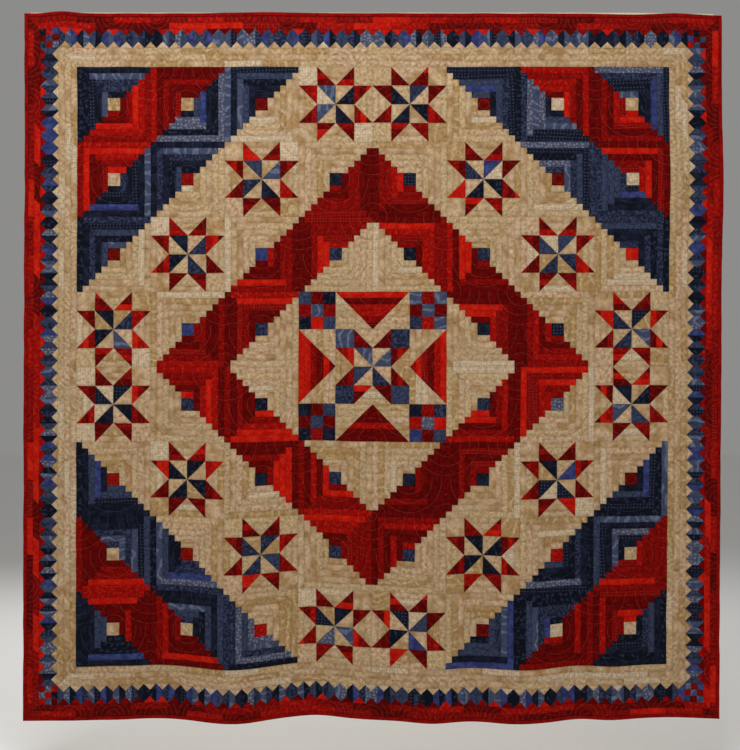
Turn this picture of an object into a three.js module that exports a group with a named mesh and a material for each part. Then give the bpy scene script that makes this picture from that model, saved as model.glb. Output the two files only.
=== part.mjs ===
// A patchwork quilt that hangs by a sleeve along its top edge, face towards -Y.
// Millimetres, +Z up. The origin is the middle of the quilt's top edge.
import * as THREE from "three";

// Flat sizes of the quilt
const BLOCK = 228.6; // one pieced block, 9 in
const BLOCKS = 8; // blocks along each side of the field
const BORDER = 152.4; // width of a border strip, 6 in
const BINDING = 11; // width of the binding on the face
const FIELD = BLOCK * BLOCKS;
const INNER = FIELD + 2 * BORDER; // between the bindings
const SIDE = INNER + 2 * BINDING; // the whole quilt, laid flat

// Thickness
const SEAM_THICKNESS = 4; // top, wadding and back where they are sewn together
const PUFF = 2.5; // how far the wadding lifts the face between seams
const BINDING_THICKNESS = 6;
const BINDING_EDGE = 2.4; // thickness left at the rounded outer edge
const BINDING_ROUNDING = 3.7; // width of the rounding there
const GAP = 0.3; // between sewn pieces

// How finely the sheet is divided
const BLOCK_STEPS = 4;
const BORDER_STEPS = 4;

// How the quilt hangs
const LENGTHENING = 1.0126; // drawn down by its own weight
const HEM_TILT = 2; // the hem is this much lower at one corner and higher at the other
const HEM_LEAN = -4.5; // how far the hem lies to the side
const DRAW_IN = 0.0022; // share of the width that the folds take up at the hem
const DRAW_IN_FROM = 700; // down from the top edge, where the lean and the drawing in start

// Soft upright folds. Each is a bell across the quilt that grows from a level down to the hem:
// where it lies, its half width, how far forward and how much lower the hem is, and where it starts.
const FOLDS = [
  { across: -645, half: 150, forward: -10, lower: -5.5, from: 1000 },
  { across: -449, half: 115, forward: 20, lower: 10, from: 900 },
  { across: -180, half: 115, forward: -20, lower: -12, from: 800 },
  { across: 190, half: 95, forward: 17, lower: 8, from: 900 },
  { across: 475, half: 125, forward: 20, lower: 10.5, from: 850 },
  { across: 635, half: 90, forward: -10, lower: -3, from: 1100 },
  { across: 745, half: 80, forward: 8, lower: 1.5, from: 1200 },
  { across: 915, half: 130, forward: -12, lower: -4.5, from: 1000 },
];

// Places where the top edge is pulled up a little, or sags where the rise is below 0
const RISES = [
  { across: -965, half: 50, rise: 7 },
  { across: -330, half: 180, rise: 3 },
  { across: 945, half: 80, rise: 7 },
  { across: 1080, half: 300, rise: -8 },
];
const RISE_DEPTH = 150; // down from the top edge, where a rise has faded out

// Places where a side edge bows out, or in where out is below 0: the left side is -1, the right 1
const BOWS = [
  { side: -1, down: 350, half: 400, out: -3 },
  { side: 1, down: 510, half: 170, out: 6 },
];
const BOW_FROM = 500; // across from the middle, where a bow starts

// The hanging sleeve
const SLEEVE_LENGTH = 2116;
const SLEEVE_TOP = 6; // above the quilt's top edge
const SLEEVE_DROP = 98; // below the quilt's top edge
const SLEEVE_WALL = 1.5;
const SLEEVE_SEAM = 10; // height of the flat sewn strip under the pocket
const SLEEVE_SEAM_THICKNESS = 4.5;
const POCKET_RADIUS = 18; // outside radius of the pocket's round top
const POCKET_CURVE_STEPS = 10;
const SLEEVE_FRONT = BINDING_THICKNESS / 2 + GAP; // just behind the binding

// Colours of the cloth, each the main one of its piece
const FIELD_COLOUR = 0xb89a72;
const BORDER_COLOUR = 0x9c1a14;
const BINDING_COLOUR = 0x7c0f10;
const SLEEVE_COLOUR = 0xd9ccb0;

function cloth(color) {
  return new THREE.MeshStandardMaterial({ color, roughness: 0.9, metalness: 0 });
}

// Where a point of the flat quilt hangs: across from the middle, down from the top edge, and out
// of the sheet's middle layer towards the face.
function place(across, down, out) {
  let forward = out;
  let lower = (-HEM_TILT * across * down * 2) / (SIDE * SIDE);
  for (const fold of FOLDS) {
    const bell = Math.exp(-(((across - fold.across) / fold.half) ** 2));
    const share = bell * THREE.MathUtils.smoothstep(down, fold.from, SIDE);
    forward += fold.forward * share;
    lower += fold.lower * share;
  }
  for (const rise of RISES) {
    const bell = Math.exp(-(((across - rise.across) / rise.half) ** 2));
    lower -= rise.rise * bell * (1 - THREE.MathUtils.smoothstep(down, 0, RISE_DEPTH));
  }
  const settled = THREE.MathUtils.smoothstep(down, DRAW_IN_FROM, SIDE);
  let sideways = across * (1 - DRAW_IN * settled) + HEM_LEAN * settled;
  for (const bow of BOWS) {
    const bell = Math.exp(-(((down - bow.down) / bow.half) ** 2));
    const share = bell * THREE.MathUtils.smoothstep(bow.side * across, BOW_FROM, SIDE / 2);
    sideways += bow.side * bow.out * share;
  }
  return [sideways, -forward, -down * LENGTHENING - lower];
}

// Six times the volume inside a closed list of triangles, negative where they face inwards
function signedVolume(points, triangles) {
  const corner = [new THREE.Vector3(), new THREE.Vector3(), new THREE.Vector3()];
  let total = 0;
  for (const triangle of triangles) {
    triangle.forEach((index, k) => corner[k].fromArray(points[index]));
    total += corner[0].dot(corner[1].cross(corner[2]));
  }
  return total;
}

// A named mesh from points and triangles, with its faces turned outwards
function solid(name, points, triangles, colour) {
  const inward = signedVolume(points, triangles) < 0;
  const index = triangles.flatMap(([a, b, c]) => (inward ? [a, c, b] : [a, b, c]));
  const geometry = new THREE.BufferGeometry();
  geometry.setAttribute("position", new THREE.Float32BufferAttribute(points.flat(), 3));
  geometry.setIndex(index);
  geometry.computeVertexNormals();
  const mesh = new THREE.Mesh(geometry, cloth(colour));
  mesh.name = name;
  return mesh;
}

// Evenly spaced places from one end of a stretch to the other
function stations(start, end, steps) {
  return Array.from({ length: steps + 1 }, (_, k) => start + ((end - start) * k) / steps);
}

// The places with the first and last drawn in by half a gap
function parted(places) {
  const inset = [...places];
  inset[0] += GAP / 2;
  inset[inset.length - 1] -= GAP / 2;
  return inset;
}

// The steps around the rim of a grid, from its first corner down and round
function rim(columns, rows) {
  const left = Array.from({ length: rows }, (_, k) => [0, k]);
  const bottom = Array.from({ length: columns }, (_, k) => [k, rows]);
  const right = Array.from({ length: rows }, (_, k) => [columns, rows - k]);
  const top = Array.from({ length: columns }, (_, k) => [columns - k, 0]);
  return [...left, ...bottom, ...right, ...top];
}

// A quilted panel over a grid of places. lift gives the puff at a grid point, and falling says
// whether a cell is split from its upper left to its lower right.
function panel(name, acrossPlaces, downPlaces, lift, falling, colour) {
  const acrossAll = parted(acrossPlaces);
  const downAll = parted(downPlaces);
  const columns = acrossAll.length - 1;
  const rows = downAll.length - 1;
  const layer = (columns + 1) * (rows + 1);
  const at = (column, row) => row * (columns + 1) + column;
  const half = SEAM_THICKNESS / 2;
  const points = [];
  downAll.forEach((down, row) => {
    acrossAll.forEach((across, column) => points.push(place(across, down, half + lift(column, row))));
  });
  downAll.forEach((down) => {
    acrossAll.forEach((across) => points.push(place(across, down, -half)));
  });
  const triangles = [];
  for (let row = 0; row < rows; row += 1) {
    for (let column = 0; column < columns; column += 1) {
      const a = at(column, row);
      const b = at(column + 1, row);
      const c = at(column + 1, row + 1);
      const d = at(column, row + 1);
      const split = falling(column, row) ? [[a, d, c], [a, c, b]] : [[a, d, b], [b, d, c]];
      for (const [p, q, r] of split) {
        triangles.push([p, q, r], [layer + p, layer + r, layer + q]);
      }
    }
  }
  const edge = rim(columns, rows).map(([column, row]) => at(column, row));
  edge.forEach((p, k) => {
    const q = edge[(k + 1) % edge.length];
    triangles.push([p, layer + p, layer + q], [p, layer + q, q]);
  });
  return solid(name, points, triangles, colour);
}

// The field's puff: one square ridge in each block, between its outer seam and its middle
function fieldLift(column, row) {
  const middle = BLOCK_STEPS / 2;
  const fromMiddle = (step) => Math.abs((step % BLOCK_STEPS) - middle);
  const ring = Math.max(fromMiddle(column), fromMiddle(row));
  return (middle - ring) % 2 === 1 ? PUFF : 0;
}

// Field cells are split along the block's own diagonals
function fieldFalling(column, row) {
  const lowHalf = (step) => step % BLOCK_STEPS < BLOCK_STEPS / 2;
  return lowHalf(column) === lowHalf(row);
}

// A border's puff: two ridges along the strip, between its three seams
function ridge(step) {
  return step % 2 === 1 ? PUFF : 0;
}

// Places along the quilt from one binding to the other, closer together in the corners
function fullLength(start) {
  const field = start + BORDER;
  return [
    ...stations(start, field, BORDER_STEPS).slice(0, -1),
    ...stations(field, field + FIELD, BLOCKS * BLOCK_STEPS),
    ...stations(field + FIELD, start + INNER, BORDER_STEPS).slice(1),
  ];
}

const ACROSS = fullLength(-INNER / 2);
const DOWN = fullLength(BINDING);
const LAST = ACROSS.length - 1;
const FIELD_RANGE = [BORDER_STEPS, LAST - BORDER_STEPS + 1];

// A border across the top or bottom, corners included, with its ridges mitred there
function levelBorder(name, downPlaces, atTop) {
  const fromOutside = (row) => (atTop ? row : BORDER_STEPS - row);
  const fromEnd = (column) => Math.min(column, LAST - column);
  const lift = (column, row) => ridge(Math.min(fromEnd(column), fromOutside(row)));
  const falling = (column) => (column < LAST / 2) === atTop;
  return panel(name, ACROSS, downPlaces, lift, falling, BORDER_COLOUR);
}

// A border down one side, between the other two
function uprightBorder(name, acrossPlaces) {
  const downPlaces = DOWN.slice(...FIELD_RANGE);
  const sewnEnd = (row) => row === 0 || row === downPlaces.length - 1;
  const lift = (column, row) => (sewnEnd(row) ? 0 : ridge(column));
  return panel(name, acrossPlaces, downPlaces, lift, () => true, BORDER_COLOUR);
}

// The binding's section: how far in from the quilt's outer edge, and out of the middle layer
const BINDING_SECTION = [
  { inset: BINDING - GAP, out: BINDING_THICKNESS / 2 },
  { inset: BINDING_ROUNDING, out: BINDING_THICKNESS / 2 },
  { inset: 0, out: BINDING_EDGE / 2 },
  { inset: 0, out: -BINDING_EDGE / 2 },
  { inset: BINDING_ROUNDING, out: -BINDING_THICKNESS / 2 },
  { inset: BINDING - GAP, out: -BINDING_THICKNESS / 2 },
];

// A binding strip along one edge with mitred ends. flat turns a place along the strip and a
// distance in from the edge into places across and down.
function binding(name, alongPlaces, flat) {
  const sides = BINDING_SECTION.length;
  const start = alongPlaces[0] - BINDING;
  const end = alongPlaces[alongPlaces.length - 1] + BINDING;
  const rings = alongPlaces.map((along, k) =>
    BINDING_SECTION.map(({ inset, out }) => {
      const first = k === 0 ? start + inset + GAP : along;
      const reached = k === alongPlaces.length - 1 ? end - inset - GAP : first;
      return place(...flat(reached, inset), out);
    }),
  );
  const triangles = [];
  for (let k = 0; k + 1 < rings.length; k += 1) {
    for (let side = 0; side < sides; side += 1) {
      const next = (side + 1) % sides;
      const a = k * sides + side;
      const b = k * sides + next;
      triangles.push([a, b, b + sides], [a, b + sides, a + sides]);
    }
  }
  const last = (rings.length - 1) * sides;
  for (let side = 1; side + 1 < sides; side += 1) {
    triangles.push([0, side + 1, side], [last, last + side, last + side + 1]);
  }
  return solid(name, rings.flat(), triangles, BINDING_COLOUR);
}

// The sleeve's section, drawn with its back towards +X and up towards +Y: a round-topped pocket
// that narrows to a flat sewn strip. inset shrinks it by the wall for the inside of the pocket.
function pocketOutline(path, inset, bottom) {
  const front = SLEEVE_FRONT + inset;
  const radius = POCKET_RADIUS - inset;
  const centre = SLEEVE_FRONT + POCKET_RADIUS;
  const shoulder = SLEEVE_TOP - POCKET_RADIUS;
  const foot = SLEEVE_FRONT + SLEEVE_SEAM_THICKNESS - inset;
  path.moveTo(front, bottom);
  path.lineTo(foot, bottom);
  path.bezierCurveTo(foot, bottom / 2, centre + radius, bottom / 2, centre + radius, shoulder);
  path.absarc(centre, shoulder, radius, 0, Math.PI, false);
  path.lineTo(front, bottom);
}

function sleeve() {
  const shape = new THREE.Shape();
  pocketOutline(shape, 0, -SLEEVE_DROP);
  const pocket = new THREE.Path();
  pocketOutline(pocket, SLEEVE_WALL, SLEEVE_SEAM - SLEEVE_DROP);
  shape.holes.push(pocket);
  const options = { depth: SLEEVE_LENGTH, bevelEnabled: false, curveSegments: POCKET_CURVE_STEPS };
  const mesh = new THREE.Mesh(new THREE.ExtrudeGeometry(shape, options), cloth(SLEEVE_COLOUR));
  const sideways = new THREE.Vector3(1, 0, 0);
  const backwards = new THREE.Vector3(0, 1, 0);
  const upwards = new THREE.Vector3(0, 0, 1);
  mesh.quaternion.setFromRotationMatrix(new THREE.Matrix4().makeBasis(backwards, upwards, sideways));
  mesh.position.x = -SLEEVE_LENGTH / 2;
  mesh.name = "sleeve";
  return mesh;
}

const quilt = new THREE.Group();

const fieldAcross = ACROSS.slice(...FIELD_RANGE);
const fieldDown = DOWN.slice(...FIELD_RANGE);
quilt.add(panel("field", fieldAcross, fieldDown, fieldLift, fieldFalling, FIELD_COLOUR));

const stripPlaces = BORDER_STEPS + 1;
quilt.add(levelBorder("border_top", DOWN.slice(0, stripPlaces), true));
quilt.add(levelBorder("border_bottom", DOWN.slice(-stripPlaces), false));
quilt.add(uprightBorder("border_left", ACROSS.slice(0, stripPlaces)));
quilt.add(uprightBorder("border_right", ACROSS.slice(-stripPlaces)));

quilt.add(binding("binding_top", ACROSS, (along, inset) => [along, inset]));
quilt.add(binding("binding_bottom", ACROSS, (along, inset) => [along, SIDE - inset]));
quilt.add(binding("binding_left", DOWN, (along, inset) => [inset - SIDE / 2, along]));
quilt.add(binding("binding_right", DOWN, (along, inset) => [SIDE / 2 - inset, along]));

quilt.add(sleeve());

export default quilt;
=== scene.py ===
# A patchwork quilt hung by its sleeve: its piecing, prints, quilting, binding and hand sewing.
# Metres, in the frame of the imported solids: face towards -Y, origin at the middle of the top edge.
import math
from types import SimpleNamespace as Row

import bpy
import numpy as np
from mathutils import Color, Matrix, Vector


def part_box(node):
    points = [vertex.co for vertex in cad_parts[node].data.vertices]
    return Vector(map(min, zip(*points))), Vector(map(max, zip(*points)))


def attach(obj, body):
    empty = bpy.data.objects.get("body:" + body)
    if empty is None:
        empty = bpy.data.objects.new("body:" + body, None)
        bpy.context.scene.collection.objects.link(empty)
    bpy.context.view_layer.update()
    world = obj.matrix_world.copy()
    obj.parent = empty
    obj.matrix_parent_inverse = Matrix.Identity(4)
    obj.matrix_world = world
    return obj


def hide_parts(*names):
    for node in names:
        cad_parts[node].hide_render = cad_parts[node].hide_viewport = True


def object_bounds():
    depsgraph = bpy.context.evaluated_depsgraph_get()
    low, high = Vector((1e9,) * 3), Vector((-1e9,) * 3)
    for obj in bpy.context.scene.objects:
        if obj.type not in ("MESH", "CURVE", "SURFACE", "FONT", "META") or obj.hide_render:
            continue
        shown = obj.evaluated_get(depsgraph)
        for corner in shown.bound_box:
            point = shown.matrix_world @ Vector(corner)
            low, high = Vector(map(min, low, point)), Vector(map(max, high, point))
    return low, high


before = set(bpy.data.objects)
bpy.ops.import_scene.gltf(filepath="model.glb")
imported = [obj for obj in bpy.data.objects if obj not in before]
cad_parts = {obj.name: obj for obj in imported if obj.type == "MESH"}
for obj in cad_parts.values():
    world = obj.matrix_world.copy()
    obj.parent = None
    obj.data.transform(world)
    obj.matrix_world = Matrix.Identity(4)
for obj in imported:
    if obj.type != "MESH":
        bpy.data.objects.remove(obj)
CAD_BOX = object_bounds()
BODY = "root"
RANDOM = np.random.default_rng(seed=31)
FORWARD = np.array([0.0, -1.0, 0.0])  # the way that the face looks


def table(columns, *rows):
    """Rows of values under named columns."""
    return [Row(**dict(zip(columns.split(), row))) for row in rows]


# The lattice of patches that the pieces are cut on, and the flat sizes that it gives
PATCH = 0.01905  # three quarters of an inch
BLOCKS = 8  # along each side of the field
BLOCK_PATCHES = 12  # along a block
BORDER_PATCHES = 8  # across a border
FIELD_PATCHES = BLOCKS * BLOCK_PATCHES
PATCHES = FIELD_PATCHES + 2 * BORDER_PATCHES
HALF = PATCHES / 2  # patches from the quilt's middle to the binding
FIELD_HALF = FIELD_PATCHES / 2
INNER = PATCHES * PATCH  # between the bindings
BINDING = 0.011  # width of the binding on the face
SIDE = INNER + 2 * BINDING  # the whole quilt, laid flat
FINE = 4  # mesh steps along a patch
COARSE = 2  # the back takes every second step

# Thickness and relief
HALF_THICKNESS = 0.002  # half of the top, wadding and back where they are sewn together
PUFF = 0.0019  # how far the wadding lifts the face between seams
PUFF_STEPS = 1.4  # mesh steps over which a piece rises from its seam
SEAM_REACH = 8  # mesh steps after which a seam no longer counts
SEAM_SHADE_STEPS = 0.75  # mesh steps over which a seam is painted darker: painted shade in its ditch
QUILT_DEPTH = 0.0011  # how far a line of quilting is drawn in
QUILT_WIDTH = 0.0034
BACK_DEPTH = 0.0007  # the same on the back

# How the quilt hangs: the same folds as the solids have
LENGTHENING = 1.0126  # drawn down by its own weight
HEM_TILT = 0.002  # the hem is this much lower at one corner and higher at the other
HEM_LEAN = -0.0045  # how far the hem lies to the side
DRAW_IN = 0.0022  # share of the width that the folds take up at the hem
DRAW_IN_FROM = 0.7  # down from the top edge, where the lean and the drawing in start
FOLDS = table(
    "across half forward lower start",
    (-0.645, 0.150, -0.010, -0.0055, 1.00),
    (-0.449, 0.115, 0.020, 0.0100, 0.90),
    (-0.180, 0.115, -0.020, -0.0120, 0.80),
    (0.190, 0.095, 0.017, 0.0080, 0.90),
    (0.475, 0.125, 0.020, 0.0105, 0.85),
    (0.635, 0.090, -0.010, -0.0030, 1.10),
    (0.745, 0.080, 0.008, 0.0015, 1.20),
    (0.915, 0.130, -0.012, -0.0045, 1.00),
)
RISES = table(
    "across half rise",
    (-0.965, 0.050, 0.007),
    (-0.330, 0.180, 0.003),
    (0.945, 0.080, 0.007),
    (1.080, 0.300, -0.008),
)
RISE_DEPTH = 0.15  # down from the top edge, where a rise has faded out
BOWS = table(
    "side down half out",
    (-1, 0.350, 0.400, -0.003),
    (1, 0.510, 0.170, 0.006),
)
BOW_FROM = 0.5  # across from the middle, where a bow starts

# Small unevenness of sewn cloth
SLACK = 0.0016  # how far the cloth wanders forward and back
SLACK_WAVES = (0.12, 0.5)  # shortest and longest wave
SEAM_WANDER = 0.0008  # how far seams stray from their ruled lines
SEAM_WAVES = (0.05, 0.2)
WAVE_COUNT = 9
GRAIN_SWAY = math.radians(3)  # how far a patch is cut off the straight grain

# The binding's section, and how unevenly it is filled
BINDING_HALF = 0.003  # half of its thickness
BINDING_ROUNDNESS = 2.6  # power of the curve over the edge
BINDING_POINTS = 13
PLUMPNESS = 0.09
PLUMP_WAVES = (0.02, 0.12)

# The sleeve, measured from the quilt's top edge
SLEEVE_LOW, SLEEVE_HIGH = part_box("sleeve")
SLEEVE_LENGTH = SLEEVE_HIGH.x - SLEEVE_LOW.x
SLEEVE_FRONT = SLEEVE_LOW.y
SLEEVE_TOP = SLEEVE_HIGH.z
SLEEVE_DROP = -SLEEVE_LOW.z
POCKET_RADIUS = (SLEEVE_HIGH.y - SLEEVE_FRONT) / 2
SLEEVE_WALL = 0.0015
SLEEVE_SEAM = 0.010  # height of the flat sewn strip under the pocket
SLEEVE_SEAM_THICKNESS = 0.0045
SLEEVE_FOOT = SLEEVE_FRONT + SLEEVE_SEAM_THICKNESS  # back of that strip
SLEEVE_STEPS = 260
SLEEVE_WALL_POINTS = 20
SLEEVE_TOP_POINTS = 16
SLEEVE_SAG = 0.004  # how much lower the sleeve's top is at the end where the quilt sags
SLEEVE_SAG_FROM = 0.8  # across from the middle
SLEEVE_WRINKLE = 0.0022
SLEEVE_WAVES = (0.03, 0.3)
SLEEVE_HEM = 0.013  # width of the turned hem at each end
SLEEVE_HEM_EDGE = 0.0013  # over which the hem's thickness fades
SLEEVE_HEM_THICKNESS = 0.0007

# Families of cloth, and labels for pieces of it
RED, BLUE, CREAM = range(3)
LABEL_ROOM = 256
BLOCK_ROOM = LABEL_ROOM**4  # more than any label within one block
ZONE_ROOM = LABEL_ROOM**7  # more than any label within one zone of the quilt

# The border's bands, in patches from the binding inwards: red, then blue spikes, then cream
RED_BAND = 2
SPIKES = 3  # length of a spike
SPIKE_PITCH = 2
STRIP = 6  # length of the pieces in the red and cream bands
STAGGER = 2.5  # from one row of these pieces to the next

# Blocks of the field, by how many blocks they lie from the middle: log cabins and a ring of stars
FARTHEST = 6
CABINS = table(
    "distance middle outer inner",
    (1, BLUE, RED, CREAM),
    (2, BLUE, CREAM, RED),
    (4, RED, BLUE, CREAM),
    (5, CREAM, RED, BLUE),
    (FARTHEST, CREAM, BLUE, RED),
)
STAR_RING = 3
STAR_HALF = BLOCK_PATCHES  # half of the middle star, and the whole of the others
CHECK = 2  # patches along the squares at the middle star's corners
WHEEL = (BLUE, CREAM)  # the pinwheel inside a star
RING_STAR, OUTER_STAR, INNER_STAR = table(
    "point ground square check",
    (RED, CREAM, CREAM, CREAM),
    (CREAM, RED, BLUE, RED),
    (RED, CREAM, BLUE, BLUE),
)

# Printed cottons: share is how often each is used in the field and in the border
FABRICS = table(
    "name family kind motif ground figure share",
    ("red_bright", RED, "mottle", 0.030, (188, 16, 6), (204, 34, 14), (2, 3)),
    ("red_leaf", RED, "leaf", 0.018, (156, 10, 5), (184, 30, 14), (3, 4)),
    ("red_swirl", RED, "swirl", 0.034, (122, 6, 4), (146, 13, 7), (4, 5)),
    ("red_dark", RED, "mottle", 0.025, (86, 3, 2), (110, 7, 4), (4, 3)),
    ("red_crackle", RED, "crackle", 0.020, (106, 5, 4), (70, 2, 2), (3, 2)),
    ("red_dots", RED, "dots", 0.009, (130, 7, 5), (164, 38, 26), (1, 1)),
    ("navy_mottle", BLUE, "mottle", 0.030, (17, 20, 31), (30, 34, 53), (8, 4)),
    ("ink_leaf", BLUE, "leaf", 0.020, (17, 20, 31), (41, 48, 72), (6, 4)),
    ("storm_swirl", BLUE, "swirl", 0.032, (31, 36, 54), (56, 63, 91), (6, 5)),
    ("navy_dots", BLUE, "dots", 0.010, (21, 25, 39), (62, 68, 92), (3, 2)),
    ("denim_crackle", BLUE, "crackle", 0.018, (58, 66, 91), (33, 38, 57), (4, 5)),
    ("slate_vine", BLUE, "vine", 0.024, (67, 75, 100), (100, 108, 132), (4, 6)),
    ("royal_mottle", BLUE, "mottle", 0.022, (44, 51, 98), (64, 73, 126), (2, 3)),
    ("frost_sprig", BLUE, "sprig", 0.010, (78, 83, 104), (138, 140, 158), (2, 4)),
    ("cream_mottle", CREAM, "mottle", 0.036, (204, 174, 138), (170, 133, 88), (5, 5)),
    ("peach_sprig", CREAM, "sprig", 0.020, (201, 170, 136), (180, 137, 98), (2, 2)),
    ("ecru_leaf", CREAM, "leaf", 0.016, (193, 164, 125), (178, 145, 103), (2, 2)),
    ("tan_vine", CREAM, "vine", 0.026, (175, 140, 93), (193, 163, 121), (2, 2)),
    ("pale_dots", CREAM, "dots", 0.008, (207, 184, 153), (186, 154, 116), (1, 1)),
    ("straw_swirl", CREAM, "swirl", 0.030, (200, 172, 132), (186, 155, 113), (2, 2)),
)
BINDING_CLOTH, BACKING_CLOTH, SLEEVE_CLOTH = table(
    "name kind motif ground figure",
    ("binding_red", "mottle", 0.020, (126, 6, 4), (148, 13, 8)),
    ("backing_cotton", "mottle", 0.060, (214, 198, 166), (210, 193, 160)),
    ("sleeve_cotton", "mottle", 0.050, (224, 210, 180), (216, 200, 168)),
)

# Shapes of the prints in sizes of their motif: how loosely it is strewn, and where edges start and end
MOTTLE = Row(detail=5.0, edge=(0.36, 0.66))
DOTS = Row(randomness=0.08, edge=(0.17, 0.25))
CRACKLE = Row(randomness=1.0, vein=(0.03, 0.13), wear=(0.3, 0.6))
SWIRL = Row(detail=1.0, contours=42.0, edge=(-0.2, 0.9))
VINE = Row(spacing=4, distortion=9.0, detail=1.5, detail_scale=1.6, edge=(0.72, 0.92))
SPRIG = Row(randomness=0.75, petals=5.0, swing=0.09, radius=0.25, edge=(-0.05, 0.04), heart=(0.05, 0.1))
LEAF = Row(randomness=0.85, length=0.46, width=0.2, power=1.6, edge=(0.8, 1.05), rib=(0.05, 0.2))

# Dye, weave and quilted relief of the cottons; the darkening of the quilting lines is painted shade in
# their grooves
PRINT_FINISH, PLAIN_FINISH = table(
    "unevenness speckle line_darkness line_depth",
    (0.36, 1.4, 0.06, 0.0008),
    (0.10, 0.2, 0.12, 0.0012),
)
DYE = Row(size=0.07, detail=4.0)
SPECKLE = Row(size=0.009, detail=3.0)
PUCKER = Row(size=0.011, detail=3.0, depth=0.0009)
COTTON_ROUGHNESS = (0.16, 0.76)  # change with the dye, and least
COTTON_SPECULAR = 0.04
COTTON_SHEEN = Row(weight=0.02, roughness=0.5)
LINE_EDGE = (0.02, 0.13)  # from a line of quilting to where its groove ends, in spacings
SEAM_SHADE_DARKNESS = 0.2  # painted shade along the seams' ditches
THREAD_PITCH = 0.0005
WEAVE_DEPTH = 0.00012

# Sewing thread: the first three lie on red, blue and cream cloth
*FACE_THREADS, BACK_THREAD, SEWING_THREAD = table(
    "name colour",
    ("thread_red", (214, 82, 54)),
    ("thread_blue", (78, 90, 126)),
    ("thread_cream", (190, 150, 100)),
    ("thread_back", (162, 132, 94)),
    ("thread_sewing", (196, 178, 142)),
)
THREAD_DYE_SIZE = 0.02
THREAD_SHADE = 0.8  # of the colour where the dye is darkest
THREAD_ROUGHNESS = 0.6
THREAD_SHEEN = 0.2
STITCH, HAND_STITCH = table(
    "length pitch width height",
    (0.0032, 0.0042, 0.0009, 0.0005),
    (0.0030, 0.0075, 0.0008, 0.0005),
)
STITCH_SUNK = 0.00015  # how far a stitch's ends lie in the cloth
STITCH_SWAY = 0.00025  # how far a stitch strays sideways
HAND_SWAY = 0.1  # the same for hand stitches along their row, as a share of their pitch
HAND_SLANT = (0.6, 1.0)  # least and most, as shares of half a stitch

# Quilting, in patches: fans over the field, scallops along the borders' edges
FAN = 6
FAN_SPACING = 1.5
RED_SCALLOP = 7
CREAM_SCALLOP = 6
SCALLOP_SPACING = 0.75
STITCH_CLEAR = 0.1  # between the last stitches and the binding

# Where the face, the back and the rim lie on a panel's picture
FACE_PICTURE = (0.13, 0.99)
BACK_PICTURE = (0.02, 0.11)
RIM_PICTURE = (0.004, 0.010)
PICTURE_MARGIN = 0.004
STITCH_PICTURE = ((0.1, 0.5), (0.9, 0.5), (0.5, 0.9), (0.5, 0.1))  # a stitch's points in its own cell

# Camera and stage
CAMERA_PLACE = (-0.0085, -5.2, -1.117)
VIEW_HALF_HEIGHT = 1.158  # at the quilt
SENSOR = 36.0
FLOOR_BELOW = 0.12  # under the hem
FLOOR_SIZE = 40.0
FLOOR_COLOUR = (250, 249, 247)
FLOOR_ROUGHNESS = 0.7
WORLD_COLOUR = (198, 197, 195)
WORLD_STRENGTH = 0.47
LIGHTS = table(
    "name place target size power",
    ("key", (-0.7, -2.4, 1.5), (0.0, 0.0, -0.5), (2.6, 1.4), 74),
    ("fill", (1.8, -4.4, -0.4), (0.0, 0.0, -1.2), (2.4, 2.4), 20),
    ("rear", (-0.9, 3.6, 1.4), (0.0, 0.0, -1.0), (2.4, 1.6), 90),
)


# Shape of the hanging cloth

def smoothstep(value, start, end):
    """0 before start, 1 after end, and a smooth rise between them."""
    share = np.clip((value - start) / (end - start), 0, 1)
    return share * share * (3 - 2 * share)


def bell(value, middle, half):
    """A smooth hump, 1 at its middle."""
    return np.exp(-(((value - middle) / half) ** 2))


def ripples(waves):
    """A smooth uneven function of two places, between about -1 and 1."""
    lengths = RANDOM.uniform(*waves, WAVE_COUNT)
    angles = RANDOM.uniform(0, math.tau, WAVE_COUNT)
    phases = RANDOM.uniform(0, math.tau, WAVE_COUNT)
    scale = math.sqrt(2 / WAVE_COUNT) / 2

    def value(first, second):
        total = 0
        for length, angle, phase in zip(lengths, angles, phases):
            along = first * math.cos(angle) + second * math.sin(angle)
            total = total + np.sin(math.tau * along / length + phase)
        return total * scale

    return value


SLACK_WAVE = ripples(SLACK_WAVES)
WANDER_ACROSS = ripples(SEAM_WAVES)
WANDER_DOWN = ripples(SEAM_WAVES)


def hang(across, down, out):
    """Where points of the flat quilt hang, out being towards the face from the middle layer."""
    across, down, out = np.broadcast_arrays(across, down, out)
    settled = smoothstep(down, 0, RISE_DEPTH)
    forward = out + SLACK * SLACK_WAVE(across, down) * settled
    lower = -HEM_TILT * across * down * 2 / SIDE**2
    for fold in FOLDS:
        share = bell(across, fold.across, fold.half) * smoothstep(down, fold.start, SIDE)
        forward = forward + fold.forward * share
        lower = lower + fold.lower * share
    for rise in RISES:
        lower = lower - rise.rise * bell(across, rise.across, rise.half) * (1 - settled)
    lowered = smoothstep(down, DRAW_IN_FROM, SIDE)
    sideways = across * (1 - DRAW_IN * lowered) + HEM_LEAN * lowered
    for bow in BOWS:
        outward = bow.side * bow.out * bell(down, bow.down, bow.half)
        sideways = sideways + outward * smoothstep(bow.side * across, BOW_FROM, SIDE / 2)
    sideways = sideways + SEAM_WANDER * WANDER_ACROSS(across, down)
    upward = -down * LENGTHENING - lower + SEAM_WANDER * WANDER_DOWN(across, down)
    return np.stack([sideways, -forward, upward], axis=-1)


# Piecing: labels and families of the pieces of cloth at places in patches from the middle, y down

def label(*numbers):
    """One whole number that stands for several small ones."""
    total = 0
    for number in numbers:
        total = total * LABEL_ROOM + np.floor(number).astype(np.int64) + LABEL_ROOM // 2
    return total


def nearest_edge(x, y):
    """Whether the nearest edge of a square is a level one, and places along and across that edge."""
    level = np.abs(y) > np.abs(x)
    return level, np.where(level, x, y), np.where(level, y, x)


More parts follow.
